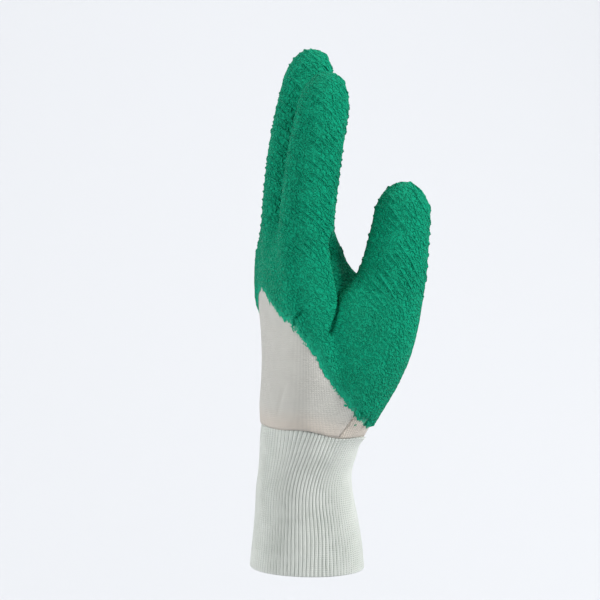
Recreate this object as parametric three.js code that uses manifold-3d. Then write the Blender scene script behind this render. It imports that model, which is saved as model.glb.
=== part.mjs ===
// A knitted work glove for the left hand, dipped in crinkled latex, in the shape that it has when worn.
// X points out of the palm, Y from the thumb side to the little finger, and Z from the wrist to the
// fingertips. The origin is the middle of the wrist opening, at the hem. Lengths are in millimetres.
import * as THREE from 'three';
import { mergeVertices } from 'three/addons/utils/BufferGeometryUtils.js';
import Module from 'manifold-3d';

const wasm = await Module();
wasm.setup();

// Cloth and latex
const linerWall = 1.0;        // cotton jersey
const latexWall = 1.3;        // dipped latex with its crinkles
const latexClearance = 0.3;   // between the cotton and the latex round it
const seamClearance = 0.3;    // between two sewn edges

// Knit wrist
const cuffLength = 70;        // hem to wrist seam
const cuffDepth = 47;         // back to palm side, at the waist
const cuffWidth = 68;         // thumb side to little finger side, at the waist
const cuffWall = 2.2;         // two layers of rib knit, folded at the hem
const ribCount = 56;
const ribDepth = 0.5;
const hemRounding = 1.0;
const seamTilt = 7;           // degrees; the back of the wrist seam is the higher

// Hand of the glove, measured on the cotton
const palmLength = 110;       // wrist seam to finger roots
const palmDepth = 46;
const palmWidth = 98;
const palmCrown = 2;          // rounding of the palm's top, between the fingers
const fingerLength = 113;     // middle finger, knuckle to tip
const fingerDepth = 24;
const fingerWidth = 23.4;
const fingertipLength = 19;   // rounded end
const fingertipGirth = 0.92;  // share of the finger's thickness where the rounded end starts
const thumbRise = 122.4;      // wrist seam to thumb tip
const thumbReach = 42;        // how far the thumb stands out of the palm
const thumbSide = 43;         // how far the thumb stands to its side
const thumbDepth = 30;
const thumbWidth = 29;
const thumbtipLength = 17;
const webThickness = 24;      // cloth stretched between thumb and forefinger

// Outlines of the wrist: rise is a share of cuffLength, forward of cuffDepth, thick of cuffDepth and
// broad of cuffWidth, thick and broad being half sizes.
const cuffSections = [
  { rise: 0.00, forward: 0.02, thick: 0.615, broad: 0.560 },
  { rise: 0.20, forward: 0.02, thick: 0.585, broad: 0.545 },
  { rise: 0.57, forward: -0.01, thick: 0.515, broad: 0.500 },
  { rise: 0.71, forward: 0.00, thick: 0.500, broad: 0.500 },
  { rise: 0.86, forward: 0.04, thick: 0.525, broad: 0.525 },
  { rise: 1.10, forward: 0.085, thick: 0.560, broad: 0.560 },
];

// Outlines of the hand: rise is a share of palmLength, forward and thick of palmDepth, across and broad
// of palmWidth.
const palmSections = [
  { rise: -0.120, forward: 0.072, thick: 0.548, across: 0.000, broad: 0.380 },
  { rise: 0.000, forward: 0.072, thick: 0.548, across: 0.000, broad: 0.381 },
  { rise: 0.110, forward: 0.043, thick: 0.522, across: 0.005, broad: 0.418 },
  { rise: 0.227, forward: 0.040, thick: 0.492, across: 0.010, broad: 0.459 },
  { rise: 0.336, forward: 0.030, thick: 0.470, across: 0.013, broad: 0.480 },
  { rise: 0.454, forward: 0.010, thick: 0.458, across: 0.010, broad: 0.495 },
  { rise: 0.545, forward: -0.018, thick: 0.450, across: 0.005, broad: 0.500 },
  { rise: 0.673, forward: -0.055, thick: 0.430, across: 0.000, broad: 0.500 },
  { rise: 0.800, forward: -0.115, thick: 0.355, across: 0.000, broad: 0.488 },
  { rise: 0.885, forward: -0.155, thick: 0.265, across: 0.000, broad: 0.455 },
  { rise: 0.935, forward: -0.180, thick: 0.150, across: 0.000, broad: 0.400 },
];

// Fingers: across is a share of palmWidth, forward of palmDepth and rise of palmLength, at the knuckle;
// reach is a share of fingerLength, thick of fingerDepth and broad of fingerWidth. lean, curl and spread
// are degrees: lean at the knuckle, curl added by the tip, spread away from the thumb.
const fingers = [
  {
    name: 'forefinger', across: -0.390, forward: -0.157, rise: 0.68,
    reach: 0.900, thick: 0.98, broad: 0.98, lean: 0, curl: 14, spread: -4.0,
  },
  {
    name: 'middle_finger', across: -0.130, forward: -0.240, rise: 0.73,
    reach: 0.985, thick: 1.00, broad: 1.00, lean: 0, curl: 15, spread: -1.0,
  },
  {
    name: 'ring_finger', across: 0.125, forward: -0.167, rise: 0.70,
    reach: 0.925, thick: 0.97, broad: 0.97, lean: 0, curl: 13, spread: 2.5,
  },
  {
    name: 'little_finger', across: 0.365, forward: -0.090, rise: 0.64,
    reach: 0.775, thick: 0.88, broad: 0.89, lean: 1, curl: 15, spread: 6.5,
  },
];
const stallRise = 1.04;       // the finger stalls join the palm here, a share of palmLength up

// Thickness of each finger along it: along is a share of its length and girth of its full thickness.
const fingerGirths = [
  { along: 0.00, girth: 0.780 },
  { along: 0.22, girth: 1.000 },
  { along: 0.42, girth: 1.000 },
  { along: 0.62, girth: 0.990 },
];

// Thumb: rise is a share of thumbRise, forward of thumbReach, side of thumbSide, thick of thumbDepth and
// broad of thumbWidth, both half sizes.
const thumbSections = [
  { rise: -0.110, forward: 0.07, side: 0.28, thick: 0.58, broad: 0.50 },
  { rise: 0.000, forward: 0.18, side: 0.40, thick: 0.61, broad: 0.53 },
  { rise: 0.122, forward: 0.36, side: 0.58, thick: 0.58, broad: 0.55 },
  { rise: 0.286, forward: 0.61, side: 0.77, thick: 0.56, broad: 0.55 },
  { rise: 0.408, forward: 0.74, side: 0.87, thick: 0.53, broad: 0.53 },
  { rise: 0.539, forward: 0.815, side: 0.94, thick: 0.51, broad: 0.51 },
  { rise: 0.670, forward: 0.880, side: 0.98, thick: 0.480, broad: 0.49 },
  { rise: 0.787, forward: 0.935, side: 1.00, thick: 0.435, broad: 0.45 },
  { rise: 0.862, forward: 0.965, side: 1.00, thick: 0.41, broad: 0.43 },
];

// Web between thumb and forefinger, from the ball of the thumb up through the hollow beside the
// forefinger: forward is a share of palmDepth, across of palmWidth, rise of palmLength and thick of
// webThickness, a half size.
const webSections = [
  { forward: 0.28, across: -0.290, rise: 0.330, thick: 0.50 },
  { forward: 0.40, across: -0.365, rise: 0.505, thick: 0.52 },
  { forward: 0.42, across: -0.290, rise: 0.625, thick: 0.38 },
  { forward: 0.22, across: -0.250, rise: 0.700, thick: 0.36 },
  { forward: 0.10, across: -0.265, rise: 0.785, thick: 0.36 },
  { forward: 0.02, across: -0.310, rise: 0.870, thick: 0.32 },
  { forward: -0.02, across: -0.350, rise: 0.950, thick: 0.26 },
];

// Dip line, where the latex ends: turn is degrees round the hand from the middle of its back towards
// the thumb, and rise a share of palmLength above the wrist seam.
const dipLine = [
  { turn: 0, rise: 0.655 },
  { turn: 30, rise: 0.630 },
  { turn: 50, rise: 0.565 },
  { turn: 70, rise: 0.490 },
  { turn: 86, rise: 0.350 },
  { turn: 98, rise: 0.210 },
  { turn: 116, rise: 0.068 },
  { turn: 130, rise: 0.020 },
  { turn: 180, rise: 0.020 },
  { turn: 230, rise: 0.030 },
  { turn: 262, rise: 0.210 },
  { turn: 275, rise: 0.350 },
  { turn: 292, rise: 0.490 },
  { turn: 312, rise: 0.570 },
  { turn: 332, rise: 0.630 },
  { turn: 360, rise: 0.655 },
];

// How finely the forms are faceted
const palmRoundness = 2.4;    // exponent of the outline; 2 is an ellipse
const palmSides = 24;
const fingerSides = 12;
const thumbSides = 14;
const webSides = 12;
const tipRings = [22, 44, 66];   // degrees round the dome of a fingertip
const pathSteps = 60;            // along each finger's bend
const dipSteps = 40;             // round the dip line
const dipRadii = [15, 23, 34, 52, 90];

const cutPast = 1;            // how far a cutting solid runs past the face that it cuts
const farOff = 600;           // more than the glove's whole length
const degrees = Math.PI / 180;
const up = new THREE.Vector3(0, 0, 1);

// One ring of a loft: a superellipse round centre, across the direction that the loft runs in.
function ring(centre, direction, halfDepth, halfWidth, sides, roundness = 2) {
  const side = new THREE.Vector3().crossVectors(direction, new THREE.Vector3(1, 0, 0)).normalize();
  const front = new THREE.Vector3().crossVectors(side, direction).normalize();
  const points = [];
  for (let i = 0; i < sides; i++) {
    const angle = (2 * Math.PI * i) / sides;
    const round = (value) => Math.sign(value) * Math.abs(value) ** (2 / roundness);
    points.push(centre.clone()
      .addScaledVector(front, halfDepth * round(Math.cos(angle)))
      .addScaledVector(side, halfWidth * round(Math.sin(angle))));
  }
  return points;
}

function meanPoint(points) {
  return points.reduce((sum, p) => sum.add(p), new THREE.Vector3()).divideScalar(points.length);
}

function solidFrom(positions, triangles) {
  const geometry = new THREE.BufferGeometry();
  geometry.setAttribute('position', positions);
  geometry.setIndex(triangles);
  const merged = mergeVertices(geometry, 1e-4);
  return new wasm.Manifold(new wasm.Mesh({
    numProp: 3,
    vertProperties: merged.attributes.position.array,
    triVerts: new Uint32Array(merged.index.array),
  }));
}

// A closed solid through rings of equal length, with a point that closes each end.
function loft(rings, startPoint, endPoint) {
  const sides = rings[0].length;
  const points = [startPoint, ...rings.flat(), endPoint];
  const last = points.length - 1;
  const triangles = [];
  for (let i = 0; i < sides; i++) {
    const next = (i + 1) % sides;
    triangles.push(0, 1 + next, 1 + i);
    for (let r = 0; r < rings.length - 1; r++) {
      const low = 1 + r * sides;
      const high = low + sides;
      triangles.push(low + i, low + next, high + next, low + i, high + next, high + i);
    }
    const top = 1 + (rings.length - 1) * sides;
    triangles.push(top + i, top + next, last);
  }
  return solidFrom(new THREE.BufferGeometry().setFromPoints(points).attributes.position, triangles);
}

// A full finger: rings at the stations, then a domed tip. Its flat base moves back by grow as well.
function digit(stations, tipLength, sides, grow) {
  const rings = [];
  stations.forEach((station, i) => {
    const before = stations[Math.max(i - 1, 0)].centre;
    const after = stations[Math.min(i + 1, stations.length - 1)].centre;
    station.direction = after.clone().sub(before).normalize();
    rings.push(ring(
      station.centre, station.direction, station.halfDepth + grow, station.halfWidth + grow, sides));
  });
  const start = stations[0].centre.clone().addScaledVector(stations[0].direction, -grow);
  rings[0].forEach((point) => point.addScaledVector(stations[0].direction, -grow));
  const end = stations[stations.length - 1];
  for (const angle of tipRings) {
    const centre = end.centre.clone()
      .addScaledVector(end.direction, (tipLength + grow) * Math.sin(angle * degrees));
    const share = Math.cos(angle * degrees);
    rings.push(ring(
      centre, end.direction, (end.halfDepth + grow) * share, (end.halfWidth + grow) * share, sides));
  }
  const tip = end.centre.clone().addScaledVector(end.direction, tipLength + grow);
  return loft(rings, start, tip);
}

function palm(grow) {
  const rings = palmSections.map((s) => ring(
    new THREE.Vector3(s.forward * palmDepth, s.across * palmWidth, cuffLength + s.rise * palmLength),
    up, s.thick * palmDepth + grow, s.broad * palmWidth + grow, palmSides, palmRoundness));
  const low = palmSections[0];
  const high = palmSections[palmSections.length - 1];
  const at = (s, extra) => new THREE.Vector3(
    s.forward * palmDepth, s.across * palmWidth, cuffLength + s.rise * palmLength + extra);
  return loft(rings, at(low, 0), at(high, palmCrown + grow));
}

function finger(f, grow) {
  const length = f.reach * fingerLength;
  const centre = new THREE.Vector3(
    f.forward * palmDepth, f.across * palmWidth, cuffLength + f.rise * palmLength);
  const turned = f.spread * degrees;
  const stations = [];
  let done = 0;
  for (const { along, girth } of [
    ...fingerGirths,
    { along: 1 - fingertipLength / length, girth: fingertipGirth },
  ]) {
    for (; done < Math.round(along * pathSteps); done++) {
      const bend = (f.lean + f.curl * (done / pathSteps)) * degrees;
      const heading = new THREE.Vector3(
        Math.sin(bend), Math.cos(bend) * Math.sin(turned), Math.cos(bend) * Math.cos(turned));
      centre.addScaledVector(heading, length / pathSteps);
    }
    stations.push({
      centre: centre.clone(),
      halfDepth: 0.5 * f.thick * girth * fingerDepth,
      halfWidth: 0.5 * f.broad * girth * fingerWidth,
    });
  }
  return digit(stations, fingertipLength, fingerSides, grow);
}

function thumb(grow) {
  const stations = thumbSections.map((s) => ({
    centre: new THREE.Vector3(s.forward * thumbReach, -s.side * thumbSide, cuffLength + s.rise * thumbRise),
    halfDepth: s.thick * thumbDepth,
    halfWidth: s.broad * thumbWidth,
  }));
  return digit(stations, thumbtipLength, thumbSides, grow);
}

function web(grow) {
  const stations = webSections.map((s) => ({
    centre: new THREE.Vector3(
      s.forward * palmDepth, s.across * palmWidth, cuffLength + s.rise * palmLength),
    halfDepth: s.thick * webThickness,
    halfWidth: s.thick * webThickness,
  }));
  return digit(stations, webSections.at(-1).thick * webThickness, webSides, grow);
}

// The hand without its thumb, as a full solid whose surface lies grow outside the cotton's.
function handBody(grow) {
  return fingers.reduce((body, f) => body.add(finger(f, grow)), palm(grow).add(web(grow)));
}

// Everything on one side of a sewn line, up to half of the clearance over it: side is 1 for what lies
// above the line and -1 for what lies below. The line may be tilted towards the back of the hand.
function pastLine(height, tilt, side) {
  const box = new THREE.BoxGeometry(farOff, farOff, farOff);
  box.translate(0, 0, side * (farOff - seamClearance) / 2);
  box.rotateY(tilt * degrees);
  box.translate(0, 0, height);
  return solidFrom(box.attributes.position, Array.from(box.index.array));
}

// Everything below the dip line, as a fan of steps round the hand.
function belowDipLine() {
  const heightAt = (turn) => {
    const i = Math.max(1, dipLine.findIndex((row) => row.turn >= turn));
    const [a, b] = [dipLine[i - 1], dipLine[i]];
    const share = (turn - a.turn) / (b.turn - a.turn);
    return cuffLength + palmLength * (a.rise + (b.rise - a.rise) * share);
  };
  const at = (turn, radius, height) => new THREE.Vector3(
    -radius * Math.cos(turn * degrees), -radius * Math.sin(turn * degrees), height);
  const turns = Array.from({ length: dipSteps }, (_, i) => (360 * i) / dipSteps);
  const rings = [
    turns.map((turn) => at(turn, dipRadii.at(-1), -cutPast)),
    ...dipRadii.toReversed().map((radius) => turns.map((turn) => at(turn, radius, heightAt(turn)))),
  ];
  return loft(rings, new THREE.Vector3(0, 0, -cutPast), new THREE.Vector3(0, 0, cuffLength));
}

// Outlines of the knit wrist, moved out by grow; ribbed ones have a groove at every second point.
function cuffRings(grow, sides, ribbed) {
  return cuffSections.map((s) => {
    const centre = new THREE.Vector3(s.forward * cuffDepth, 0, s.rise * cuffLength);
    const points = ring(centre, up, s.thick * cuffDepth + grow, s.broad * cuffWidth + grow, sides);
    if (!ribbed) return points;
    return points.map((point, i) => {
      const inward = centre.clone().sub(point).setLength((i % 2) * ribDepth);
      return point.add(inward);
    });
  });
}

// The knit wrist: a ribbed tube with a rounded hem, cut off along the slanting seam.
function knitCuff() {
  const outer = cuffRings(0, 2 * ribCount, true);
  const middle = meanPoint(outer[0]);
  const turned = outer[0].map((p) => p.clone().add(middle.clone().sub(p).setLength(hemRounding)));
  const hem = outer[0].map((p) => p.clone().setZ(hemRounding));
  const outside = loft([turned, hem, ...outer.slice(1)], middle, meanPoint(outer.at(-1)));
  const inner = cuffRings(-cuffWall, ribCount / 2, false);
  inner[0].forEach((p) => p.setZ(-cutPast));
  const inside = loft(inner, meanPoint(inner[0]), meanPoint(inner.at(-1)));
  return outside.subtract(inside).subtract(pastLine(cuffLength, seamTilt, 1));
}

const belowWrist = pastLine(cuffLength, seamTilt, -1);
const stallHeight = cuffLength + stallRise * palmLength;
const latexOutside = latexClearance + latexWall;
const hollow = handBody(-linerWall).add(thumb(-linerWall));
const handCloth = handBody(0).subtract(hollow).subtract(belowWrist);
const palmCloth = handCloth.subtract(pastLine(stallHeight, 0, 1));
const stallCloth = handCloth.subtract(pastLine(stallHeight, 0, -1));
const stall = (f) => stallCloth.intersect(finger(f, seamClearance));
const thumbCloth = thumb(0).subtract(hollow).subtract(handBody(seamClearance)).subtract(belowWrist);
const outerSkin = handBody(latexOutside).add(thumb(latexOutside));
const innerSkin = handBody(latexClearance).add(thumb(latexClearance));
const latex = outerSkin.subtract(innerSkin).subtract(belowDipLine()).subtract(belowWrist);

function pieceMesh(name, solid, material) {
  const { vertProperties, triVerts } = solid.getMesh();
  const geometry = new THREE.BufferGeometry();
  geometry.setAttribute('position', new THREE.BufferAttribute(new Float32Array(vertProperties), 3));
  geometry.setIndex(new THREE.BufferAttribute(new Uint32Array(triVerts), 1));
  geometry.computeVertexNormals();
  const mesh = new THREE.Mesh(geometry, material);
  mesh.name = name;
  return mesh;
}

const cotton = new THREE.MeshStandardMaterial({ color: 0xd6cec0, roughness: 0.95, metalness: 0 });
const latexGreen = new THREE.MeshStandardMaterial({ color: 0x0e9468, roughness: 0.55, metalness: 0 });
const ribKnit = new THREE.MeshStandardMaterial({ color: 0xd3d9d2, roughness: 0.97, metalness: 0 });

const glove = new THREE.Group();
glove.add(
  pieceMesh('liner_palm', palmCloth, cotton),
  ...fingers.map((f) => pieceMesh(`liner_${f.name}`, stall(f), cotton)),
  pieceMesh('liner_thumb', thumbCloth, cotton),
  pieceMesh('latex_coating', latex, latexGreen),
  pieceMesh('knit_cuff', knitCuff(), ribKnit),
);
export default glove;
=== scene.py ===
import math

import bpy
import numpy as np
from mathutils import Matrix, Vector, noise


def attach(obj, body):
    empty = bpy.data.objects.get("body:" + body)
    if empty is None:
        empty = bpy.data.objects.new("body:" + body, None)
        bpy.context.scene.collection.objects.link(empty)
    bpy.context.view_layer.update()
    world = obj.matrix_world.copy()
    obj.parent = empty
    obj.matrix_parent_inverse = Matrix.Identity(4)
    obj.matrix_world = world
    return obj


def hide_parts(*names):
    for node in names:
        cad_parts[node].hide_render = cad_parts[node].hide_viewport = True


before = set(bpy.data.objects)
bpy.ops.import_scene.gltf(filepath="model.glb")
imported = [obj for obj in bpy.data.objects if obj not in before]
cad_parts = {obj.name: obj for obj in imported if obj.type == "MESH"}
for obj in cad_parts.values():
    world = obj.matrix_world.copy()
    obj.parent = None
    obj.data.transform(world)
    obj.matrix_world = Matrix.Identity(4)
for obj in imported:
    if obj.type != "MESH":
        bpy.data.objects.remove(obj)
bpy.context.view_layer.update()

# Camera and studio. The glove is seen from its thumb side, level with the palm and turned ten degrees
# towards the back of the hand, in front of a pale sweep of paper under wide soft lamps. The paper is
# see-through from behind and below, so that it hides the glove from no side.
MM = 0.001
camera_distance = 950 * MM
camera_turn = math.radians(10)
aim_height = 136 * MM
aim_side = -2.55 * MM
toward = Vector((math.sin(camera_turn), math.cos(camera_turn), 0))
rightward = Vector((math.cos(camera_turn), -math.sin(camera_turn), 0))

camera_data = bpy.data.cameras.new("camera")
camera_data.sensor_width = 36
camera_data.lens = 111.8
camera = bpy.data.objects.new("camera", camera_data)
bpy.context.collection.objects.link(camera)
camera.location = rightward * aim_side - toward * camera_distance + Vector((0, 0, aim_height))
camera.rotation_mode = "QUATERNION"
camera.rotation_quaternion = toward.to_track_quat("-Z", "Y")
bpy.context.scene.camera = camera
bpy.context.scene.view_settings.view_transform = "Standard"


def add_node(tree, kind, inputs=None, **settings):
    """A new node in the tree. inputs holds a value or another node's output for each socket."""
    made = tree.nodes.new(kind)
    for name, value in settings.items():
        setattr(made, name, value)
    for name, value in (inputs or {}).items():
        if isinstance(value, bpy.types.NodeSocket):
            tree.links.new(value, made.inputs[name])
        else:
            made.inputs[name].default_value = value
    return made


def new_material(name, base, roughness, **more):
    """A material with its Principled shader, and its node tree."""
    material = bpy.data.materials.new(name)
    material.use_nodes = True
    shader = material.node_tree.nodes["Principled BSDF"]
    shader.inputs["Base Color"].default_value = (*base, 1)
    shader.inputs["Roughness"].default_value = roughness
    for socket, value in more.items():
        shader.inputs[socket.replace("_", " ")].default_value = value
    return material, material.node_tree, shader


def new_piece(name, points, faces, material):
    """A smooth mesh object from points in millimetres."""
    mesh = bpy.data.meshes.new(name)
    mesh.from_pydata((np.asarray(points) * MM).tolist(), [], np.asarray(faces).tolist())
    mesh.polygons.foreach_set("use_smooth", np.ones(len(mesh.polygons), bool))
    mesh.materials.append(material)
    piece = bpy.data.objects.new(name, mesh)
    bpy.context.collection.objects.link(piece)
    return piece


paper, paper_tree, paper_shader = new_material("studio_paper", (0.607, 0.617, 0.638), 0.9)
grain_noise = add_node(paper_tree, "ShaderNodeTexNoise", {"Scale": 900.0, "Detail": 2.0})
paper_bump = add_node(paper_tree, "ShaderNodeBump",
                      {"Height": grain_noise.outputs["Fac"], "Strength": 0.02, "Distance": 0.0002})
paper_tree.links.new(paper_bump.outputs["Normal"], paper_shader.inputs["Normal"])
paper_back = add_node(paper_tree, "ShaderNodeMixShader", {
    0: add_node(paper_tree, "ShaderNodeNewGeometry").outputs["Backfacing"],
    1: paper_shader.outputs["BSDF"],
    2: add_node(paper_tree, "ShaderNodeBsdfTransparent").outputs["BSDF"]})
paper_tree.links.new(paper_back.outputs["Shader"], paper_tree.nodes["Material Output"].inputs["Surface"])
floor_height = -60
sweep_radius = 900
sweep_back = 150
arc = np.radians(np.linspace(0, 90, 24))
sweep_front, sweep_top, sweep_side = -2600, 4200, 3500
profile = [(sweep_front, floor_height)]
profile += [(sweep_back + sweep_radius * math.sin(a), floor_height + sweep_radius * (1 - math.cos(a)))
            for a in arc]
profile += [(sweep_back + sweep_radius, sweep_top)]
sweep_points = [(x, y, z) for y, z in profile for x in (-sweep_side, sweep_side)]
sweep_faces = [(2 * i, 2 * i + 1, 2 * i + 3, 2 * i + 2) for i in range(len(profile) - 1)]
new_piece("studio_sweep", sweep_points, sweep_faces, paper)

world = bpy.data.worlds.new("studio_air")
world.use_nodes = True
world.node_tree.nodes["Background"].inputs["Color"].default_value = (0.95, 0.972, 1.0, 1)
world.node_tree.nodes["Background"].inputs["Strength"].default_value = 0.36
bpy.context.scene.world = world
lamps = [
    # name, place, size, watts
    ("right", (1150, -850, 900), 480, 28),
    ("left", (-1300, -300, 600), 700, 13),
    ("above", (100, 200, 1500), 900, 9),
]
for name, place, size, watts in lamps:
    lamp_data = bpy.data.lights.new(name, "AREA")
    lamp_data.size = size * MM
    lamp_data.energy = watts
    lamp = bpy.data.objects.new(name, lamp_data)
    lamp.location = Vector(place) * MM
    lamp.rotation_euler = (Vector((0, 0, aim_height)) - lamp.location).to_track_quat("-Z", "Y").to_euler()
    bpy.context.collection.objects.link(lamp)

# The shape of the hand in the glove. Palm, fingers, thumb and the web between thumb and forefinger are
# rounded solids, worked out as distances on a grid and run into each other the way stretched knit does.
cuff_length, cuff_depth, cuff_width = 70, 47, 68
palm_length, palm_depth, palm_width = 110, 46, 98
finger_length, finger_depth, finger_width, fingertip_length = 113, 24, 23.4, 19
thumb_rise, thumb_reach, thumb_side, thumb_depth, thumb_width, thumbtip_length = 122.4, 42, 43, 30, 29, 17
web_thickness = 24
seam_tilt = math.radians(7)

palm_sections = [
    # rise of palm_length, forward and thick of palm_depth, across and broad of palm_width
    (-0.120, 0.072, 0.548, 0.000, 0.380),
    (0.000, 0.072, 0.548, 0.000, 0.381),
    (0.110, 0.043, 0.522, 0.005, 0.418),
    (0.227, 0.040, 0.492, 0.010, 0.459),
    (0.336, 0.030, 0.470, 0.013, 0.480),
    (0.454, 0.010, 0.458, 0.010, 0.495),
    (0.545, -0.018, 0.450, 0.005, 0.500),
    (0.673, -0.055, 0.430, 0.000, 0.500),
    (0.800, -0.115, 0.355, 0.000, 0.488),
    (0.885, -0.155, 0.265, 0.000, 0.455),
]
palm_dome = 7
palm_roundness = 2.4
fingers = [
    # name, across, forward, rise, reach, thick, broad, lean, curl, spread
    ("forefinger", -0.390, -0.157, 0.68, 0.900, 0.98, 0.98, 0, 14, -4.0),
    ("middle_finger", -0.130, -0.240, 0.73, 0.985, 1.00, 1.00, 0, 15, -1.0),
    ("ring_finger", 0.125, -0.167, 0.70, 0.925, 0.97, 0.97, 0, 13, 2.5),
    ("little_finger", 0.365, -0.090, 0.64, 0.775, 0.88, 0.89, 1, 15, 6.5),
]
finger_girths = [(0.0, 0.78), (0.22, 1.0), (0.42, 1.0), (0.62, 0.99), (0.85, 0.92)]
thumb_sections = [
    # rise of thumb_rise, forward of thumb_reach, side of thumb_side, thick and broad of the thumb
    (-0.110, 0.07, 0.28, 0.58, 0.50),
    (0.000, 0.18, 0.40, 0.61, 0.53),
    (0.122, 0.36, 0.58, 0.58, 0.55),
    (0.286, 0.61, 0.77, 0.56, 0.55),
    (0.408, 0.74, 0.87, 0.53, 0.53),
    (0.539, 0.815, 0.94, 0.51, 0.51),
    (0.670, 0.880, 0.98, 0.480, 0.49),
    (0.787, 0.935, 1.00, 0.435, 0.45),
    (0.862, 0.965, 1.00, 0.41, 0.43),
]
web_sections = [
    # forward of palm_depth, across of palm_width, rise of palm_length, thick of web_thickness
    (0.64, -0.340, 0.585, 0.36),
    (0.42, -0.260, 0.625, 0.35),
    (0.22, -0.240, 0.695, 0.36),
    (0.10, -0.265, 0.785, 0.36),
    (0.02, -0.310, 0.870, 0.32),
    (-0.02, -0.350, 0.950, 0.26),
]
thumb_root_sections = [
    (0.65, -0.428, 0.632, 0.50),
    (0.40, -0.412, 0.518, 0.52),
    (0.30, -0.345, 0.365, 0.51),
    (0.26, -0.290, 0.250, 0.48),
]


def smooth_rows(rows, parts):
    """The rows with others in between, on a smooth curve through all of them."""
    rows = np.array(rows, float)
    padded = np.vstack([2 * rows[0] - rows[1], rows, 2 * rows[-1] - rows[-2]])
    made = []
    for a, b, c, d in zip(padded[:-3], padded[1:-2], padded[2:-1], padded[3:]):
        for t in np.arange(parts) / parts:
            bend = (2 * a - 5 * b + 4 * c - d) * t ** 2 + (3 * b - a - 3 * c + d) * t ** 3
            made.append(0.5 * (2 * b + (c - a) * t + bend))
    return np.array(made + [rows[-1]])


def finger_path(across, forward, rise, reach, thick, broad, lean, curl, spread):
    """Centres and half sizes from the knuckle to where the fingertip's dome starts."""
    length = reach * finger_length
    along = np.linspace(0, 1 - fingertip_length / length, 25)
    bend = np.radians(lean + curl * along)
    turn = math.radians(spread)
    step = np.stack([np.sin(bend), np.cos(bend) * math.sin(turn), np.cos(bend) * math.cos(turn)], 1)
    steps = step[:-1] * np.diff(along)[:, None] * length
    knuckle = np.array([forward * palm_depth, across * palm_width, cuff_length + rise * palm_length])
    centres = knuckle + np.vstack([np.zeros(3), np.cumsum(steps, axis=0)])
    girth = np.interp(along, *zip(*finger_girths))
    half = 0.5 * girth[:, None] * np.array([thick * finger_depth, broad * finger_width])
    return np.hstack([centres, half])


def along_tube(points, path, tip):
    """Distance to the skin of a tube with a domed tip, the angle round it, and the length along it."""
    start, step = path[:-1, :3], np.diff(path[:, :3], axis=0)
    length = np.linalg.norm(step, axis=1)
    nearest = np.full(len(points), 1e9)
    index = np.zeros(len(points), int)
    share = np.zeros(len(points))
    for i in range(len(step)):
        t = np.clip((points - start[i]) @ step[i] / length[i] ** 2, 0, 1)
        gap = ((points - start[i] - t[:, None] * step[i]) ** 2).sum(axis=1)
        closer = gap < nearest
        nearest[closer], index[closer], share[closer] = gap[closer], i, t[closer]
    heading = np.vstack([step[:1], step[1:] + step[:-1], step[-1:]])
    heading /= np.linalg.norm(heading, axis=1, keepdims=True)
    at = path[index] * (1 - share)[:, None] + path[index + 1] * share[:, None]
    ahead = heading[index] * (1 - share)[:, None] + heading[index + 1] * share[:, None]
    side = np.stack([np.zeros(len(ahead)), ahead[:, 2], -ahead[:, 1]], 1)
    side /= np.linalg.norm(side, axis=1, keepdims=True)
    front = np.cross(side, ahead)
    away = points - at[:, :3]
    depth, width = at[:, 3], at[:, 4]
    x = (away * front).sum(axis=1)
    y = (away * side).sum(axis=1)
    past_end = (index == len(step) - 1) & (share >= 1) | (index == 0) & (share <= 0)
    z = np.where(past_end, (away * ahead).sum(axis=1), 0)
    reach = np.sqrt((x / depth) ** 2 + (y / width) ** 2 + (z / tip) ** 2) + 1e-6
    slope = np.sqrt((x / depth ** 2) ** 2 + (y / width ** 2) ** 2 + (z / tip ** 2) ** 2) / reach + 1e-6
    travelled = np.concatenate([[0], np.cumsum(length)])
    run = travelled[index] + share * length[index] + z
    return (reach - 1) / slope, np.arctan2(y / width, x / depth), run


finger_paths = [finger_path(*row[1:]) for row in fingers]
thumb_path = smooth_rows([
    (forward * thumb_reach, -side * thumb_side, cuff_length + rise * thumb_rise,
     thick * thumb_depth, broad * thumb_width)
    for rise, forward, side, thick, broad in thumb_sections], 4)
web_path, thumb_root_path = (smooth_rows([
    (forward * palm_depth, across * palm_width, cuff_length + rise * palm_length,
     thick * web_thickness, thick * web_thickness)
    for forward, across, rise, thick in sections], 4) for sections in (web_sections, thumb_root_sections))

grid_step = 0.82
grid_low = np.array([-32.0, -64.0, 58.0])
grid_high = np.array([66.0, 64.0, 272.0])
ticks = [np.arange(low, high, grid_step) for low, high in zip(grid_low, grid_high)]
far = 9.0


def tube_field(path, tip):
    """The distance to a tube at each point of the grid, as far as it matters."""
    field = np.full([len(t) for t in ticks], far, np.float32)
    reach = path[:, 3:].max() + far
    low, high = path[:, :3].min(axis=0) - reach, path[:, :3].max(axis=0) + reach
    spans = [slice(*np.searchsorted(t, (a, b))) for t, a, b in zip(ticks, low, high)]
    parts = [t[span] for t, span in zip(ticks, spans)]
    points = np.stack(np.meshgrid(*parts, indexing="ij"), -1)
    distance = along_tube(points.reshape(-1, 3), path, tip)[0]
    field[tuple(spans)] = np.minimum(distance, far).reshape(points.shape[:3])
    return field


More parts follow.
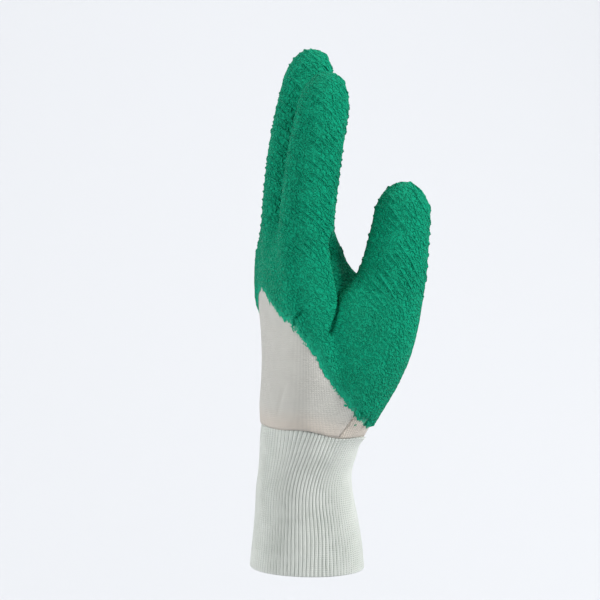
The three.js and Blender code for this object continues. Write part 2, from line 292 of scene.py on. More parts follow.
def palm_field():
    """The distance to the palm, a stack of rounded sections that closes in a dome at the knuckles."""
    rows = smooth_rows(palm_sections, 6)
    rise = (ticks[2] - cuff_length) / palm_length
    forward, thick, across, broad = (np.interp(rise, rows[:, 0], rows[:, i]) for i in (1, 2, 3, 4))
    top = cuff_length + palm_sections[-1][0] * palm_length
    x = np.abs(ticks[0][:, None, None] - forward * palm_depth) / (thick * palm_depth)
    y = np.abs(ticks[1][None, :, None] - across * palm_width) / (broad * palm_width)
    z = np.maximum(ticks[2] - top, 0) / palm_dome
    n = palm_roundness
    reach = (x ** n + y ** n + z ** n) ** (1 / n) + 1e-6
    slope = np.sqrt((x ** (n - 1) / (thick * palm_depth)) ** 2 + (y ** (n - 1) / (broad * palm_width)) ** 2
                    + (z ** (n - 1) / palm_dome) ** 2) / reach ** (n - 1) + 1e-6
    return np.clip((reach - 1) / slope, -30, far).astype(np.float32)


def run_together(a, b, width):
    """The nearer of two distances, rounded where the two surfaces meet."""
    overlap = np.maximum(width - np.abs(a - b), 0) / width
    return np.minimum(a, b) - overlap ** 2 * width / 4


def soften(field, rounds):
    """Takes the edge off creases by averaging each grid point with its neighbours."""
    for _ in range(rounds):
        for axis in range(3):
            last = field.shape[axis] - 1
            ahead = np.take(field, np.minimum(np.arange(1, last + 2), last), axis)
            behind = np.take(field, np.maximum(np.arange(-1, last), 0), axis)
            field = 0.5 * field + 0.25 * (ahead + behind)
    return field


def sample(field, points):
    """The field's value at each point, between the grid points around it."""
    place = np.clip((points - grid_low) / grid_step, 0, np.array(field.shape) - 1.001)
    cell = place.astype(int)
    share = place - cell
    total = 0
    for corner in np.ndindex(2, 2, 2):
        weight = np.prod(np.where(np.array(corner) == 1, share, 1 - share), axis=1)
        total = total + weight * field[tuple((cell + corner).T)]
    return total


def press_in(field, line, depth, width):
    """Pushes the surface on the thumb's side in along a fold, given as forward and height in mm."""
    rows = smooth_rows([(x, -62, z, width, width) for x, z in line], 4)
    for _ in range(40):
        rows[:, 1] += 0.8 * sample(field, rows[:, :3])
    near = tube_field(rows, width) + width
    return field + depth * np.exp(-(np.maximum(near, 0) / width) ** 2).astype(np.float32)


body = palm_field()
for path in finger_paths:
    body = run_together(body, tube_field(path, fingertip_length), 3)
body = run_together(body, tube_field(web_path, web_sections[-1][3] * web_thickness), 3)
body = press_in(body, [(4.5, 164), (6, 157), (7.6, 150), (9, 144), (10, 138)], 4.8, 3.8)
thumb = tube_field(thumb_path, thumbtip_length)
thumb = run_together(thumb, tube_field(thumb_root_path, thumb_root_sections[-1][3] * web_thickness), 5)
hand = soften(run_together(body, thumb, 2), 2)
folds = [
    # line as forward and height, depth, width
    ([(4.6, 160), (5.6, 153), (6.6, 144), (7.6, 137), (7.6, 131), (5.4, 125), (3.6, 120)], 2.4, 1.3),
    ([(-9, 131), (-11.5, 127), (-12.5, 122)], 1.8, 1.2),
    ([(-16, 93), (-17.5, 86), (-18.5, 79)], 0.6, 1.2),
]
for line, depth, width in folds:
    hand = press_in(hand, line, depth, width)


def surface(field, level, stride):
    """Points and quads of the surface where the field passes level, on every stride-th grid point."""
    coarse = field[::stride, ::stride, ::stride]
    inside = coarse < level
    cells = tuple(n - 1 for n in coarse.shape)
    count = np.zeros(cells, np.int8)
    for i, j, k in np.ndindex(2, 2, 2):
        count += inside[i:i + cells[0], j:j + cells[1], k:k + cells[2]]
    active = np.argwhere((count > 0) & (count < 8))
    number = np.full(cells, -1)
    number[tuple(active.T)] = np.arange(len(active))
    total, hits = np.zeros((len(active), 3)), np.zeros(len(active))
    for axis in range(3):
        along = np.eye(3, dtype=int)[axis]
        for offset in np.ndindex(2, 2, 2):
            if offset[axis]:
                continue
            low = coarse[tuple((active + offset).T)]
            high = coarse[tuple((active + offset + along).T)]
            crossed = (low < level) != (high < level)
            share = (level - low[crossed]) / (high - low)[crossed]
            total[crossed] += np.array(offset) + share[:, None] * along
            hits[crossed] += 1
    points = grid_low + (active + total / hits[:, None]) * grid_step * stride
    quads = []
    for axis in range(3):
        along = np.eye(3, dtype=int)[axis]
        b, c = np.eye(3, dtype=int)[(axis + 1) % 3], np.eye(3, dtype=int)[(axis + 2) % 3]
        low = inside[tuple(slice(0, n - along[i]) for i, n in enumerate(inside.shape))]
        high = inside[tuple(slice(along[i], None) for i in range(3))]
        edges = np.argwhere(low != high)
        edges = edges[((edges[:, (axis + 1) % 3] > 0) & (edges[:, (axis + 2) % 3] > 0))]
        edges = edges[(edges < cells).all(axis=1)]
        around = [number[tuple((edges - shift).T)] for shift in (b + c, c, 0 * b, b)]
        quad = np.stack(around, 1)
        outward = low[tuple(edges.T)]
        quads.append(np.where(outward[:, None], quad, quad[:, ::-1]))
    return points, np.vstack(quads)


def even_out(points, quads, field, level, rounds):
    """Spreads the points evenly and keeps them on the surface. Also gives their outward directions."""
    pairs = np.vstack([quads[:, [0, 1]], quads[:, [1, 2]], quads[:, [2, 3]], quads[:, [3, 0]]])
    near = np.bincount(pairs[:, 0], minlength=len(points))
    for step in range(rounds + 1):
        if step < rounds:
            mean = np.stack([np.bincount(pairs[:, 0], points[pairs[:, 1], i], len(points))
                             for i in range(3)], 1)
            points = 0.4 * points + 0.6 * mean / near[:, None]
        for _ in range(2):
            slope = np.stack([sample(field, points + d) - sample(field, points - d)
                              for d in np.eye(3) * grid_step], 1) / (2 * grid_step)
            size = (slope ** 2).sum(axis=1, keepdims=True) + 1e-6
            points = points - slope / size * (sample(field, points) - level)[:, None]
    return points, slope / np.sqrt(size)


def trim(points, quads, height):
    """Keeps the faces where height is above nought, and draws their border onto the line."""
    kept = height[quads].mean(axis=1) > 0
    border = np.zeros(len(points), bool)
    border[quads[kept]] = True
    dropped = np.zeros(len(points), bool)
    dropped[quads[~kept]] = True
    border &= dropped
    pairs = np.vstack([quads[:, [0, 1]], quads[:, [1, 2]], quads[:, [2, 3]], quads[:, [3, 0]]])
    pairs = np.vstack([pairs, pairs[:, ::-1]])
    a, b = pairs.T
    crossing = border[a] & ((height[a] > 0) != (height[b] > 0))
    a, b = a[crossing], b[crossing]
    share = height[a] / (height[a] - height[b])
    order = np.argsort(-share)
    moved = points.copy()
    moved[a[order]] = (points[a] + (points[b] - points[a]) * share[:, None])[order]
    return moved, quads[kept]


def used_only(quads, *arrays):
    """Renumbers the quads over the points that they use, and picks those rows from each array."""
    used, quads = np.unique(quads, return_inverse=True)
    return (quads.reshape(-1, 4), *(array[used] for array in arrays))


def give(piece, name, values):
    """Stores a value or a vector for each point of the piece."""
    kind = "FLOAT" if values.ndim == 1 else "FLOAT_VECTOR"
    attribute = piece.data.attributes.new(name, kind, "POINT")
    attribute.data.foreach_set("value" if values.ndim == 1 else "vector", values.astype(np.float32).ravel())


def give_loops(piece, wales, courses, period):
    """A UV map that counts knitted loops, wales round the piece and courses up it."""
    mesh = piece.data
    corners = np.empty(len(mesh.loops), int)
    mesh.loops.foreach_get("vertex_index", corners)
    u = wales[corners].reshape(-1, 4)
    if period:
        u = u - period * np.round((u - u[:, :1]) / period)
    uv = np.stack([u.ravel(), courses[corners]], 1)
    layer = mesh.uv_layers.new(name="loops")
    layer.data.foreach_set("uv", uv.astype(np.float32).ravel())


def wrist_seam(x, y):
    """Height of the wrist seam, which is tilted and a little wavy on the thumb's side."""
    wave = 0.9 * np.sin(x / 5.2 - 0.4) * np.exp(-((y + 36) / 22) ** 2)
    return cuff_length - wave - x * math.tan(seam_tilt)


dip_line = [
    # degrees round the hand from the middle of its back towards the thumb, share of palm_length up
    (0, 0.655), (30, 0.630), (50, 0.565), (70, 0.490), (86, 0.350), (98, 0.210), (116, 0.068), (130, 0.020),
    (180, 0.020), (230, 0.030), (262, 0.210), (275, 0.350), (292, 0.490), (312, 0.570), (332, 0.630),
    (360, 0.655),
]


def above_dip_line(points):
    """Distance from the line where the latex ends, in mm, positive on the latex."""
    turn = np.degrees(np.arctan2(-points[:, 1], -points[:, 0])) % 360
    turns, rises = (np.array(column) for column in zip(*dip_line))
    rise = np.interp(turn, turns, rises)
    slope = np.interp(turn + 2, turns, rises, period=360) - np.interp(turn - 2, turns, rises, period=360)
    tilt = slope * palm_length / (math.radians(4) * np.hypot(points[:, 0], points[:, 1]))
    return (points[:, 2] - cuff_length - rise * palm_length) / np.sqrt(1 + tilt ** 2)


def speckle(points, size, seed):
    """Smooth noise from about -1 to 1 at each point, with lumps of the given size in mm."""
    return np.array([noise.noise(Vector(p) / size + Vector((seed, 0, 0))) for p in points]) * 1.6


# The knitted cotton: a fine tube-knit jersey for the hand, and a separate panel for the thumb, sewn in
# along its root. Undyed yarn, one millimetre thick, in upright columns of loops.
knit = bpy.data.node_groups.new("knit_loops", "ShaderNodeTree")
knit.interface.new_socket("Loops", in_out="INPUT", socket_type="NodeSocketVector")
knit.interface.new_socket("Height", in_out="OUTPUT", socket_type="NodeSocketFloat")
knit.interface.new_socket("Gap", in_out="OUTPUT", socket_type="NodeSocketFloat")
knit_in = add_node(knit, "NodeGroupInput")
knit_out = add_node(knit, "NodeGroupOutput")
loop_place = add_node(knit, "ShaderNodeSeparateXYZ", {"Vector": knit_in.outputs["Loops"]})


def maths(tree, operation, a, b=0.0, c=0.0):
    """The output of a Math node."""
    return add_node(tree, "ShaderNodeMath", {0: a, 1: b, 2: c}, operation=operation).outputs[0]


across_loop = maths(knit, "FRACT", loop_place.outputs["X"])
from_middle = maths(knit, "ABSOLUTE", maths(knit, "MULTIPLY_ADD", across_loop, 2.0, -1.0))
leg = maths(knit, "SUBTRACT", 1.0, maths(knit, "POWER", maths(knit, "ABSOLUTE", maths(
    knit, "MULTIPLY_ADD", from_middle, 2.0, -1.0)), 2.0))
slanted = maths(knit, "SUBTRACT", loop_place.outputs["Y"], maths(knit, "MULTIPLY", from_middle, 0.5))
row_wave = maths(knit, "SINE", maths(knit, "MULTIPLY", slanted, 2 * math.pi))
stitch = maths(knit, "MULTIPLY_ADD", row_wave, 0.3, 0.7)
knit.links.new(maths(knit, "MULTIPLY", leg, stitch), knit_out.inputs["Height"])
knit.links.new(maths(knit, "POWER", from_middle, 2.2), knit_out.inputs["Gap"])

yarn_fuzz = bpy.data.node_groups.new("yarn_fuzz", "ShaderNodeTree")
yarn_fuzz.interface.new_socket("Size", in_out="INPUT", socket_type="NodeSocketFloat")
yarn_fuzz.interface.new_socket("Mottle", in_out="OUTPUT", socket_type="NodeSocketFloat")
yarn_fuzz.interface.new_socket("Fibres", in_out="OUTPUT", socket_type="NodeSocketFloat")
fuzz_in = add_node(yarn_fuzz, "NodeGroupInput")
fuzz_out = add_node(yarn_fuzz, "NodeGroupOutput")
fuzz_place = add_node(yarn_fuzz, "ShaderNodeTexCoord").outputs["Object"]
mottle = add_node(yarn_fuzz, "ShaderNodeTexNoise",
                  {"Vector": fuzz_place, "Scale": fuzz_in.outputs["Size"], "Detail": 4.0, "Roughness": 0.6})
fibres = add_node(yarn_fuzz, "ShaderNodeTexNoise", {"Vector": fuzz_place, "Scale": 2600.0, "Detail": 3.0})
yarn_fuzz.links.new(mottle.outputs["Fac"], fuzz_out.inputs["Mottle"])
yarn_fuzz.links.new(fibres.outputs["Fac"], fuzz_out.inputs["Fibres"])


def mix(tree, share, a, b):
    """The colour output of a Mix node."""
    made = add_node(tree, "ShaderNodeMix", {"Factor": share}, data_type="RGBA")
    for socket, value in ((made.inputs[6], a), (made.inputs[7], b)):
        if isinstance(value, bpy.types.NodeSocket):
            tree.links.new(value, socket)
        else:
            socket.default_value = (*value, 1)
    return made.outputs[2]


def ramp(tree, value, low, high, to_low=0.0, to_high=1.0):
    """The output of a Map Range node with a smooth step."""
    return add_node(tree, "ShaderNodeMapRange", {
        "Value": value, "From Min": low, "From Max": high, "To Min": to_low, "To Max": to_high,
    }, interpolation_type="SMOOTHSTEP").outputs["Result"]


def attribute(tree, name, output="Fac"):
    """The output of an Attribute node."""
    return add_node(tree, "ShaderNodeAttribute", attribute_name=name).outputs[output]


stain_green = (0.010, 0.33, 0.19)


def cotton(name, base, warm, wale_depth):
    """Undyed jersey with its loops, fuzz and the green that the latex leaves along its edge."""
    material, tree, shader = new_material(name, base, 0.92, Sheen_Weight=0.25, Sheen_Roughness=0.5,
                                          Specular_IOR_Level=0.2)
    loops = add_node(tree, "ShaderNodeUVMap", uv_map="loops").outputs["UV"]
    pattern = add_node(tree, "ShaderNodeGroup", {"Loops": loops}, node_tree=knit)
    fuzz = add_node(tree, "ShaderNodeGroup", {"Size": 90.0}, node_tree=yarn_fuzz)
    near_seam = ramp(tree, attribute(tree, "seam"), 1.0, 13.0, 1.0, 0.0)
    colour = mix(tree, near_seam, base, warm)
    # Painted shade: the cotton is darkened towards half its colour in the gaps between the knitted loops.
    shade = maths(tree, "MULTIPLY", pattern.outputs["Gap"], 0.75)
    dark = tuple(0.5 * c for c in base)
    colour = mix(tree, shade, colour, dark)
    colour = mix(tree, ramp(tree, fuzz.outputs["Mottle"], 0.35, 0.75, 0.0, 0.16), colour, dark)
    ragged = add_node(tree, "ShaderNodeTexNoise", {
        "Vector": add_node(tree, "ShaderNodeTexCoord").outputs["Object"], "Scale": 850.0, "Detail": 3.0})
    edge = maths(tree, "MULTIPLY_ADD", ragged.outputs["Fac"], 5.0, maths(
        tree, "SUBTRACT", attribute(tree, "dip"), 2.9))
    colour = mix(tree, ramp(tree, edge, -1.2, -0.1, 0.0, 0.3), colour, stain_green)
    colour = mix(tree, ramp(tree, edge, -0.3, 0.1), colour, stain_green)
    tree.links.new(colour, shader.inputs["Base Color"])
    height = maths(tree, "MULTIPLY_ADD", fuzz.outputs["Fibres"], 0.35, pattern.outputs["Height"])
    bump = add_node(tree, "ShaderNodeBump", {"Height": height, "Strength": wale_depth, "Distance": 0.0003})
    tree.links.new(bump.outputs["Normal"], shader.inputs["Normal"])
    return material


cotton_cloth = cotton("cotton_jersey", (0.61, 0.60, 0.55), (0.67, 0.60, 0.52), 0.8)
thumb_cloth = cotton("thumb_jersey", (0.61, 0.55, 0.475), (0.61, 0.545, 0.47), 0.8)

liner_wall = 1.0
liner_stride = 2
points, quads = surface(hand, 0.0, liner_stride)
points, outward = even_out(points, quads, hand, 0.0, 4)
points, quads = trim(points, quads, points[:, 2] - wrist_seam(points[:, 0], points[:, 1]))
quads, points, outward = used_only(quads, points, outward)
height = points[:, 2] - wrist_seam(points[:, 0], points[:, 1])
lip = np.clip(1 - height / 1.6, 0, 1) ** 2
points = points - outward * (0.4 * lip)[:, None]
thumb_lead = sample(body, points) - sample(thumb, points)
panel_edge = 11.4 + 0.7 * (points[:, 2] - 70) - 2.5 * np.maximum(above_dip_line(points) - 3, 0)
thumb_lead = np.where(points[:, 1] < 0, np.minimum(thumb_lead + 3, points[:, 0] - panel_edge), thumb_lead)
crease = np.exp(-(thumb_lead / 1.3) ** 2) * (above_dip_line(points) < 4)
points = points - outward * (0.45 * crease)[:, None]

wale_width, course_height = 1.15, 0.95
palm_wales = 250
turn = np.arctan2(points[:, 1] / palm_width, points[:, 0] / palm_depth)
ticks_round = np.linspace(-math.pi, math.pi, 721)
outline = np.stack([palm_depth / 2 * np.cos(ticks_round), palm_width / 2 * np.sin(ticks_round)], 1)
round_length = np.concatenate([[0], np.cumsum(np.linalg.norm(np.diff(outline, axis=0), axis=1))])
body_wales = np.interp(turn, ticks_round, round_length / round_length[-1] * palm_wales)
body_courses = points[:, 2] / course_height
_, thumb_turn, thumb_run = along_tube(points, thumb_path, thumbtip_length)
thumb_wales = 96
for name, side, material, nodes in (
    ("jersey_hand", -1, cotton_cloth, ["liner_palm"] + [f"liner_{row[0]}" for row in fingers]),
    ("jersey_thumb", 1, thumb_cloth, ["liner_thumb"]),
):
    moved, faces = trim(points, quads, thumb_lead * side)
    faces, moved, *kept = used_only(faces, moved, body_wales, body_courses, thumb_turn, thumb_run, height)
    jersey = new_piece(name, moved, faces, material)
    if side < 0:
        give_loops(jersey, kept[0], kept[1], palm_wales)
    else:
        give_loops(jersey, kept[2] / (2 * math.pi) * thumb_wales, kept[3] / course_height, thumb_wales)
    give(jersey, "seam", kept[4])
    give(jersey, "dip", above_dip_line(moved))
    wall = jersey.modifiers.new("wall", "SOLIDIFY")
    wall.thickness = liner_wall * MM
    wall.offset = -1
    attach(jersey, "root")
    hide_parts(*nodes)

# The latex: fingers, thumb, palm and knuckles are dipped and shrink into fine raised wrinkles as they
# cure. The skin is a good millimetre thick and thins out to a ragged, soaked-in edge.
latex_height = 1.3
edge_height = 0.14
edge_taper = 5.0
dark_green = (0.001, 0.140, 0.070)
mid_green = (0.002, 0.355, 0.194)
ridge_highlight_green = (0.015, 0.480, 0.290)


def wrinkles(tree, grain, creased, ridge_width):
    """Height from 0 to 1 of the wrinkles at a place in mm: long ones where creased is 1, short ones all over."""
    waver = add_node(tree, "ShaderNodeTexNoise",
                     {"Vector": grain, "Scale": 0.14, "Detail": 4.0, "Roughness": 0.6})
    shift = add_node(tree, "ShaderNodeVectorMath", {0: waver.outputs["Color"], 1: (0.5, 0.5, 0.5)},
                     operation="SUBTRACT")
    bent = add_node(tree, "ShaderNodeVectorMath", {0: shift.outputs[0], 1: (1.8, 1.8, 1.8), 2: grain},
                    operation="MULTIPLY_ADD")
    def stretched(across, along, around):
        """The bent place, counted in sizes in mm across the ridges, along them and round the hand."""
        return add_node(tree, "ShaderNodeVectorMath",
                        {0: bent.outputs[0], 1: (1 / across, 1 / along, 1 / around)},
                        operation="MULTIPLY").outputs[0]

    ridge_spacing = 3.3
    drift = add_node(tree, "ShaderNodeTexNoise",
                     {"Vector": stretched(11, 26, 13), "Scale": 1.0, "Detail": 1.0})
    across_ridges = add_node(tree, "ShaderNodeSeparateXYZ", {"Vector": bent.outputs[0]}).outputs["X"]
    strand = maths(tree, "MULTIPLY_ADD", drift.outputs["Fac"], 1.3,
                   maths(tree, "MULTIPLY", across_ridges, 1 / ridge_spacing))
    off_strand = maths(tree, "ABSOLUTE", maths(tree, "SUBTRACT", maths(tree, "FRACT", strand), 0.5))
    broken = add_node(tree, "ShaderNodeTexNoise",
                      {"Vector": stretched(3.6, 10, 5), "Scale": 1.0, "Detail": 1.0})
    long_ridges = maths(tree, "MULTIPLY", ramp(tree, off_strand, 0.0, 0.16 * ridge_width, 1.0, 0.0),
                        ramp(tree, broken.outputs["Fac"], 0.40, 0.53))
    cells = add_node(tree, "ShaderNodeTexVoronoi", {"Vector": stretched(1.5, 3.0, 2.4), "Scale": 1.0},
                     feature="DISTANCE_TO_EDGE")
    short_ridges = ramp(tree, cells.outputs["Distance"], 0.0, 0.24 * ridge_width, 0.42, 0.0)
    return maths(tree, "MAXIMUM", maths(tree, "MULTIPLY", long_ridges, creased), short_ridges)


latex, tree, shader = new_material("crinkled_latex", mid_green, 0.65, Specular_IOR_Level=0.08)
grain = attribute(tree, "grain", "Vector")
ridges = wrinkles(tree, grain, attribute(tree, "creased"), 1.0)
broad = add_node(tree, "ShaderNodeTexNoise", {"Vector": grain, "Scale": 0.05, "Detail": 3.0})
fine = add_node(tree, "ShaderNodeTexNoise", {"Vector": grain, "Scale": 0.85, "Detail": 4.0, "Roughness": 0.6})
crumbs = add_node(tree, "ShaderNodeTexVoronoi", {"Vector": grain, "Scale": 0.75, "Randomness": 1.0},
                  feature="SMOOTH_F1")
colour = mix(tree, ramp(tree, broad.outputs["Fac"], 0.3, 0.7, 0.0, 0.2), mid_green, dark_green)
colour = mix(tree, ramp(tree, fine.outputs["Fac"], 0.35, 0.7, 0.0, 0.15), colour, dark_green)
# Painted shade: a dark band along the foot of each wrinkle.
ridge_foot_shade = maths(tree, "SUBTRACT", ramp(tree, ridges, 0.0, 0.12), ramp(tree, ridges, 0.15, 0.5))
colour = mix(tree, maths(tree, "MULTIPLY", ridge_foot_shade, 0.6), colour, dark_green)
# Painted highlight: the tops of the wrinkles are made a lighter green.
colour = mix(tree, ramp(tree, ridges, 0.3, 0.9, 0.0, 0.32), colour, ridge_highlight_green)
from_edge = maths(tree, "MULTIPLY_ADD", fine.outputs["Fac"], 1.6, attribute(tree, "edge"))
thin = ramp(tree, from_edge, 1.0, 8.0, 0.8, 0.0)
colour = mix(tree, thin, colour, stain_green)
tree.links.new(colour, shader.inputs["Base Color"])
relief = maths(tree, "MULTIPLY_ADD", fine.outputs["Fac"], 1.1, ridges)
relief = maths(tree, "MULTIPLY_ADD", crumbs.outputs["Distance"], 0.7, relief)
relief = maths(tree, "MULTIPLY", relief, maths(tree, "MULTIPLY_ADD", attribute(tree, "swell"), 0.8, 0.2))
bump = add_node(tree, "ShaderNodeBump", {"Height": relief, "Strength": 1.0, "Distance": 0.0015})
tree.links.new(bump.outputs["Normal"], shader.inputs["Normal"])

points, quads = surface(hand, latex_height, 1)
points, outward = even_out(points, quads, hand, latex_height, 3)
on_latex = above_dip_line(points)
near_edge = np.abs(on_latex) < 12
ragged = np.zeros(len(points))
drawn_up = points[near_edge] * np.array([1, 1, 0.5])
ragged[near_edge] = speckle(drawn_up, 2.6, 3) + 0.7 * speckle(drawn_up, 1.2, 8)
spikes_forward, spikes_height, spikes_reach = 27, 76, 14
spiky = np.hypot(points[:, 0] - spikes_forward, points[:, 2] - spikes_height) / spikes_reach
spiky = np.clip(1 - spiky, 0, 1)
on_latex = on_latex + ragged * (1.5 + 3.4 * spiky)
points, quads = trim(points, quads, on_latex)
quads, points, outward, on_latex = used_only(quads, points, outward, on_latex)
on_latex = np.maximum(on_latex, 0)
swell = np.clip(on_latex / edge_taper, 0, 1)
swell = swell * swell * (3 - 2 * swell)
points = points - outward * ((latex_height - edge_height) * (1 - swell))[:, None]
thumb_share = np.clip((sample(body, points) - sample(thumb, points)) / 8 + 0.5, 0, 1)
ridge_lean, thumb_ridge_lean = 45, 12
lean_angle = np.radians(ridge_lean + thumb_ridge_lean * thumb_share)
grain_pivot = np.array([10, 0, 108])
from_pivot = points - grain_pivot
grain_place = np.stack([
    np.sin(lean_angle) * from_pivot[:, 0] + np.cos(lean_angle) * from_pivot[:, 2],
    np.cos(lean_angle) * from_pivot[:, 0] - np.sin(lean_angle) * from_pivot[:, 2],
    from_pivot[:, 1]], 1)
creased = np.maximum(np.clip((points[:, 2] - 146) / 18, 0, 1),
                     thumb_share * np.clip((points[:, 2] - 126) / 14, 0, 1)) * 0.85 + 0.15
skin = new_piece("latex_skin", points, quads, latex)
give(skin, "creased", creased)
give(skin, "grain", grain_place)
give(skin, "edge", on_latex)
give(skin, "swell", swell)

raising = bpy.data.node_groups.new("raised_wrinkles", "GeometryNodeTree")
raising.interface.new_socket("Geometry", in_out="INPUT", socket_type="NodeSocketGeometry")
raising.interface.new_socket("Geometry", in_out="OUTPUT", socket_type="NodeSocketGeometry")
raise_in = add_node(raising, "NodeGroupInput")
raise_out = add_node(raising, "NodeGroupOutput")
grain_read = add_node(raising, "GeometryNodeInputNamedAttribute", {"Name": "grain"}, data_type="FLOAT_VECTOR")
swell_read = add_node(raising, "GeometryNodeInputNamedAttribute", {"Name": "swell"}, data_type="FLOAT")
creased_read = add_node(raising, "GeometryNodeInputNamedAttribute", {"Name": "creased"}, data_type="FLOAT")
wrinkle = wrinkles(raising, grain_read.outputs["Attribute"], creased_read.outputs["Attribute"], 1.5)
lumps = add_node(raising, "ShaderNodeTexNoise",
                 {"Vector": grain_read.outputs["Attribute"], "Scale": 0.3, "Detail": 2.0})
rise = maths(raising, "MULTIPLY_ADD", wrinkle, 1.15 * MM, maths(
    raising, "MULTIPLY_ADD", lumps.outputs["Fac"], 0.6 * MM, -0.3 * MM))
rise = maths(raising, "MULTIPLY", rise, swell_read.outputs["Attribute"])
lifted = add_node(raising, "ShaderNodeVectorMath",
                  {0: add_node(raising, "GeometryNodeInputNormal").outputs["Normal"], "Scale": rise},
                  operation="SCALE")
placed = add_node(raising, "GeometryNodeSetPosition",
                  {"Geometry": raise_in.outputs["Geometry"], "Offset": lifted.outputs["Vector"]})
raising.links.new(placed.outputs["Geometry"], raise_out.inputs["Geometry"])
raised = skin.modifiers.new("raised_wrinkles", "NODES")
raised.node_group = raising
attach(skin, "root")
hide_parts("latex_coating")

# The knit wrist: a long rib-knit tube, folded double at the hem and sewn to the jersey under the palm.
# The ribs stand upright at the hem and lean towards the palm higher up.
cuff_wall = 2.2
rib_count = 92
rib_depth = 0.75
rib_course = 1.05
rib_lean = math.radians(14)
cuff_sections = [
    # rise of cuff_length, forward and thick of cuff_depth, broad of cuff_width
    (0.00, 0.02, 0.615, 0.560),
    (0.20, 0.02, 0.585, 0.545),
    (0.38, 0.01, 0.550, 0.520),
    (0.57, -0.01, 0.515, 0.500),
    (0.71, 0.00, 0.500, 0.500),
    (0.86, 0.04, 0.525, 0.525),
    (1.10, 0.085, 0.560, 0.560),
]
rib_cloth, tree, shader = new_material("rib_knit", (0.60, 0.64, 0.59), 0.93, Sheen_Weight=0.3,
                                       Sheen_Roughness=0.5, Specular_IOR_Level=0.2)
loops = add_node(tree, "ShaderNodeUVMap", uv_map="loops").outputs["UV"]
pattern = add_node(tree, "ShaderNodeGroup", {"Loops": loops}, node_tree=knit)
fuzz = add_node(tree, "ShaderNodeGroup", {"Size": 60.0}, node_tree=yarn_fuzz)
# Painted shade: the colour darkens in the grooves between the ribs and in the gaps between the knitted loops.
groove_shade = ramp(tree, attribute(tree, "ridge"), 0.05, 0.75, 0.42, 0.0)
colour = mix(tree, groove_shade, (0.73, 0.76, 0.71), (0.27, 0.30, 0.26))
colour = mix(tree, maths(tree, "MULTIPLY", pattern.outputs["Gap"], 0.4), colour, (0.30, 0.33, 0.29))
colour = mix(tree, ramp(tree, fuzz.outputs["Mottle"], 0.35, 0.75, 0.0, 0.3), colour, (0.36, 0.40, 0.35))
tree.links.new(colour, shader.inputs["Base Color"])
height = maths(tree, "MULTIPLY_ADD", fuzz.outputs["Fibres"], 0.4, pattern.outputs["Height"])
bump = add_node(tree, "ShaderNodeBump", {"Height": height, "Strength": 0.8, "Distance": 0.0005})
tree.links.new(bump.outputs["Normal"], shader.inputs["Normal"])

columns_per_rib = 8
columns = rib_count * columns_per_rib
rows_outside = 96
rows_inside = 16
section_rows = smooth_rows(cuff_sections, 6)


def cuff_outline(height, angle, inset):
    """Points of the wrist's outline, inset from its outer face, at a height and an angle."""
    rise = height / cuff_length
    forward, thick, broad = (np.interp(rise, section_rows[:, 0], section_rows[:, i]) for i in (1, 2, 3))
    x = forward * cuff_depth + (thick * cuff_depth - inset) * np.cos(angle)
    y = (broad * cuff_width - inset) * np.sin(angle)
    return np.stack([x, y, height + 0 * angle], -1)


angle = np.linspace(0, 2 * math.pi, columns, endpoint=False)
seam_height = np.full(columns, float(cuff_length))
for _ in range(3):
    middle = cuff_outline(seam_height, angle, 0).mean(axis=0)
    rim = cuff_outline(seam_height, angle, 0)
    ray = rim - middle
    ray[:, 2] = 0
    reach = np.ones(columns)
    for _ in range(8):
        reach -= sample(hand, middle + ray * reach[:, None] + [0, 0, 0.5]) / np.linalg.norm(ray, axis=1)
    rim = middle + ray * reach[:, None]
    seam_height = wrist_seam(rim[:, 0], rim[:, 1]) - 0.12
seam_swell = (reach - 1) * np.linalg.norm(ray, axis=1) - 0.55
hem_radius = cuff_wall / 2
lean_run = np.cumsum(np.tan(rib_lean * np.clip((np.linspace(0, 1, rows_outside) - 0.42) / 0.25, 0, 1)))
off_thumb_side = np.degrees(np.abs(np.angle(np.exp(1j * (angle + math.pi / 2)))))
side_lean = np.clip(1 - (off_thumb_side - 20) / 70, 0, 1)
side_lean = np.where(np.cos(angle) > 0, 1, side_lean)
points, ridge_values, wales, courses = [], [], [], []
mean_radius = 0.5 * (cuff_depth * 0.53 + cuff_width * 0.53)
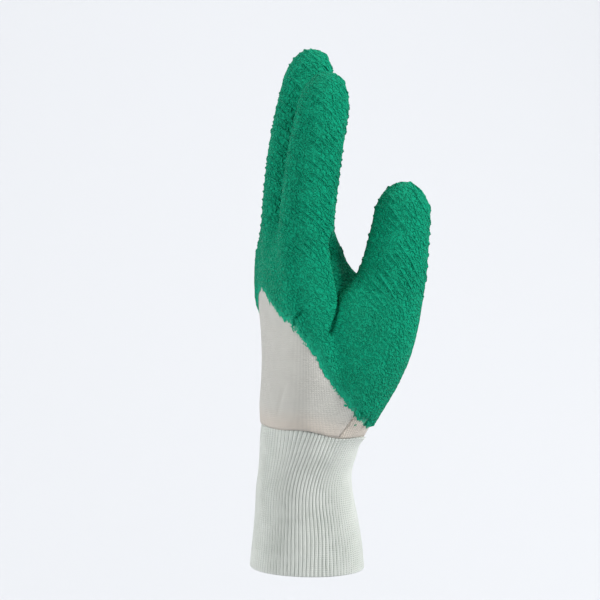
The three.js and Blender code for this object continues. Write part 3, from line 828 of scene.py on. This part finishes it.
rows_all = [("inside", share) for share in np.linspace(1, 0.03, rows_inside)]
rows_all += [("hem", turn) for turn in np.radians(np.linspace(-80, 80, 7))]
rows_all += [("outside", share) for share in np.linspace(0.02, 1, rows_outside)]
rows_all += [("sewn in", rise) for rise in (0.5, 2.2)]
for part, value in rows_all:
    if part == "outside":
        height = value * seam_height
        inset = np.zeros(columns)
        twist = np.interp(value, np.linspace(0, 1, rows_outside), lean_run) * cuff_length / rows_outside
        twist = twist * side_lean
        grip = 1.0
        tuck = -seam_swell * np.clip((height - seam_height + 9) / 9, 0, 1) ** 2
    elif part == "sewn in":
        height = seam_height + value
        inset = np.full(columns, 1.0 + liner_wall)
        tuck = -seam_swell
    elif part == "hem":
        height = hem_radius * (1 - math.cos(value)) + np.zeros(columns)
        inset = hem_radius * (1 - math.sin(value)) + np.zeros(columns)
        twist, grip, tuck = 0.0, 0.5 + 0.5 * math.sin(value), 0.0
    else:
        height = hem_radius + value * (seam_height - hem_radius)
        inset = np.full(columns, cuff_wall)
        twist, grip, tuck = 0.0, 0.0, 0.0
    wander = 0.10 * np.sin(3 * angle + height / 9) + 0.07 * np.sin(7 * angle - height / 5 + 1)
    rib = (angle / (2 * math.pi)) * rib_count - twist / (2 * math.pi * mean_radius) * rib_count + wander
    ridge = np.abs(np.cos(math.pi * rib)) ** 0.7
    place = cuff_outline(height, angle, inset + tuck + rib_depth * grip * (1 - ridge))
    points.append(place)
    ridge_values.append(ridge * grip + 1 - grip)
    wales.append(2 * rib)
    courses.append(height / rib_course)
points = np.concatenate(points)
row_count = len(rows_all)
index = np.arange(row_count * columns).reshape(row_count, columns)
right = np.roll(index, -1, axis=1)
quads = np.stack([index[:-1], right[:-1], right[1:], index[1:]], -1).reshape(-1, 4)
cuff = new_piece("rib_cuff", points, quads, rib_cloth)
give(cuff, "ridge", np.concatenate(ridge_values))
give_loops(cuff, np.concatenate(wales), np.concatenate(courses), 2 * rib_count)
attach(cuff, "root")
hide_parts("knit_cuff")
